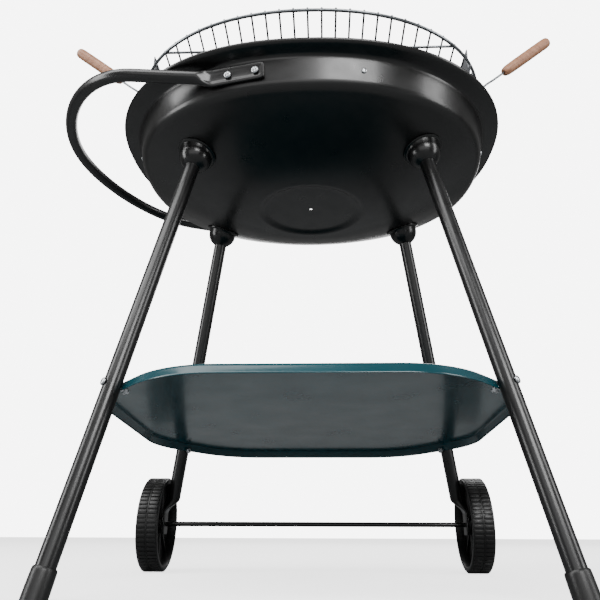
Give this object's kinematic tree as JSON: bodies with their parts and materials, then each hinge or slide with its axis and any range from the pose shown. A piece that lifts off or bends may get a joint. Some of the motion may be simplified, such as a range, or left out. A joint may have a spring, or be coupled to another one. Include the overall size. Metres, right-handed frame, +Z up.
{
  "type": "trolley charcoal grill",
  "caption": "Open charcoal grill: rounded rectangular steel bowl on splayed tube legs, with wheels, low shelf, push handle and lift-off cooking grate with wooden grips.",
  "frame": {"origin": "on the floor under the middle of the grill's overall width and depth", "axes": "+Z up, +X to the right as seen from the side with the plastic feet, +Y towards the wheels"},
  "size_m": [0.8734, 0.5914, 0.9133],
  "materials": {
    "black_enamel": "gloss black vitreous enamel on pressed steel",
    "black_paint": "semi-gloss black powder coat on steel tube",
    "teal_enamel": "gloss dark teal enamel on pressed steel",
    "black_plastic": "moulded black plastic",
    "zinc": "bright zinc plate",
    "galvanised": "galvanised sheet",
    "chromed_wire": "chromed wire",
    "iron_wire": "blackened steel wire",
    "beech": "turned beech, unvarnished"
  },
  "bodies": {
    "grill": {"bowl": "black_enamel", "leg_socket_front_left": "black_plastic", "leg_bolt_front_left": "zinc", "front_leg_left": "black_paint", "leg_socket_front_right": "black_plastic", "leg_bolt_front_right": "zinc", "front_leg_right": "black_paint", "leg_socket_rear_left": "black_plastic", "leg_bolt_rear_left": "zinc", "rear_leg_left": "black_paint", "leg_socket_rear_right": "black_plastic", "leg_bolt_rear_right": "zinc", "rear_leg_right": "black_paint", "foot_cap_left": "black_plastic", "foot_cap_right": "black_plastic", "axle": "black_paint", "hub_cap_left": "zinc", "hub_cap_right": "zinc", "shelf": "teal_enamel", "shelf_bolt_front_left": "zinc", "shelf_nut_front_left": "zinc", "shelf_bolt_front_right": "zinc", "shelf_nut_front_right": "zinc", "shelf_bolt_rear_left": "zinc", "shelf_nut_rear_left": "zinc", "shelf_bolt_rear_right": "zinc", "shelf_nut_rear_right": "zinc", "push_handle": "black_paint", "handle_screw_front_inner": "zinc", "handle_nut_front_inner": "zinc", "handle_screw_front_outer": "zinc", "handle_nut_front_outer": "zinc", "handle_screw_rear_inner": "zinc", "handle_nut_rear_inner": "zinc", "handle_screw_rear_outer": "zinc", "handle_nut_rear_outer": "zinc", "grate_holder_left": "galvanised", "grate_holder_right": "galvanised", "holder_screw_front_left": "zinc", "holder_screw_front_right": "zinc", "holder_screw_rear_left": "zinc", "holder_screw_rear_right": "zinc", "coal_bracket_front_left": "galvanised", "coal_bracket_front_right": "galvanised", "bracket_screw_front": "zinc", "bracket_nut_front": "zinc", "coal_bracket_rear_left": "galvanised", "coal_bracket_rear_right": "galvanised", "bracket_screw_rear": "zinc", "bracket_nut_rear": "zinc"},
    "left_wheel": {"wheel_left": "black_plastic"},
    "right_wheel": {"wheel_right": "black_plastic"},
    "cooking_rack": {"cooking_grate": "chromed_wire", "wooden_grip_left": "beech", "wooden_grip_right": "beech"},
    "charcoal_rack": {"charcoal_grate": "iron_wire"}
  },
  "joints": [
    {"name": "left_wheel_spin", "type": "hinge", "parent": "grill", "child": "left_wheel", "pos_m": [-0.2765, 0.21785, 0.0778], "axis": [1, 0, 0], "continuous": true},
    {"name": "right_wheel_spin", "type": "hinge", "parent": "grill", "child": "right_wheel", "pos_m": [0.2765, 0.21785, 0.0778], "axis": [1, 0, 0], "continuous": true},
    {"name": "cooking_grate_lift", "type": "slide", "parent": "grill", "child": "cooking_rack", "axis": [0, 0, 1], "range_m": [0, 0.08]},
    {"name": "charcoal_grate_lift", "type": "slide", "parent": "grill", "child": "charcoal_rack", "axis": [0, 0, 1], "range_m": [0, 0.1]}
  ]
}
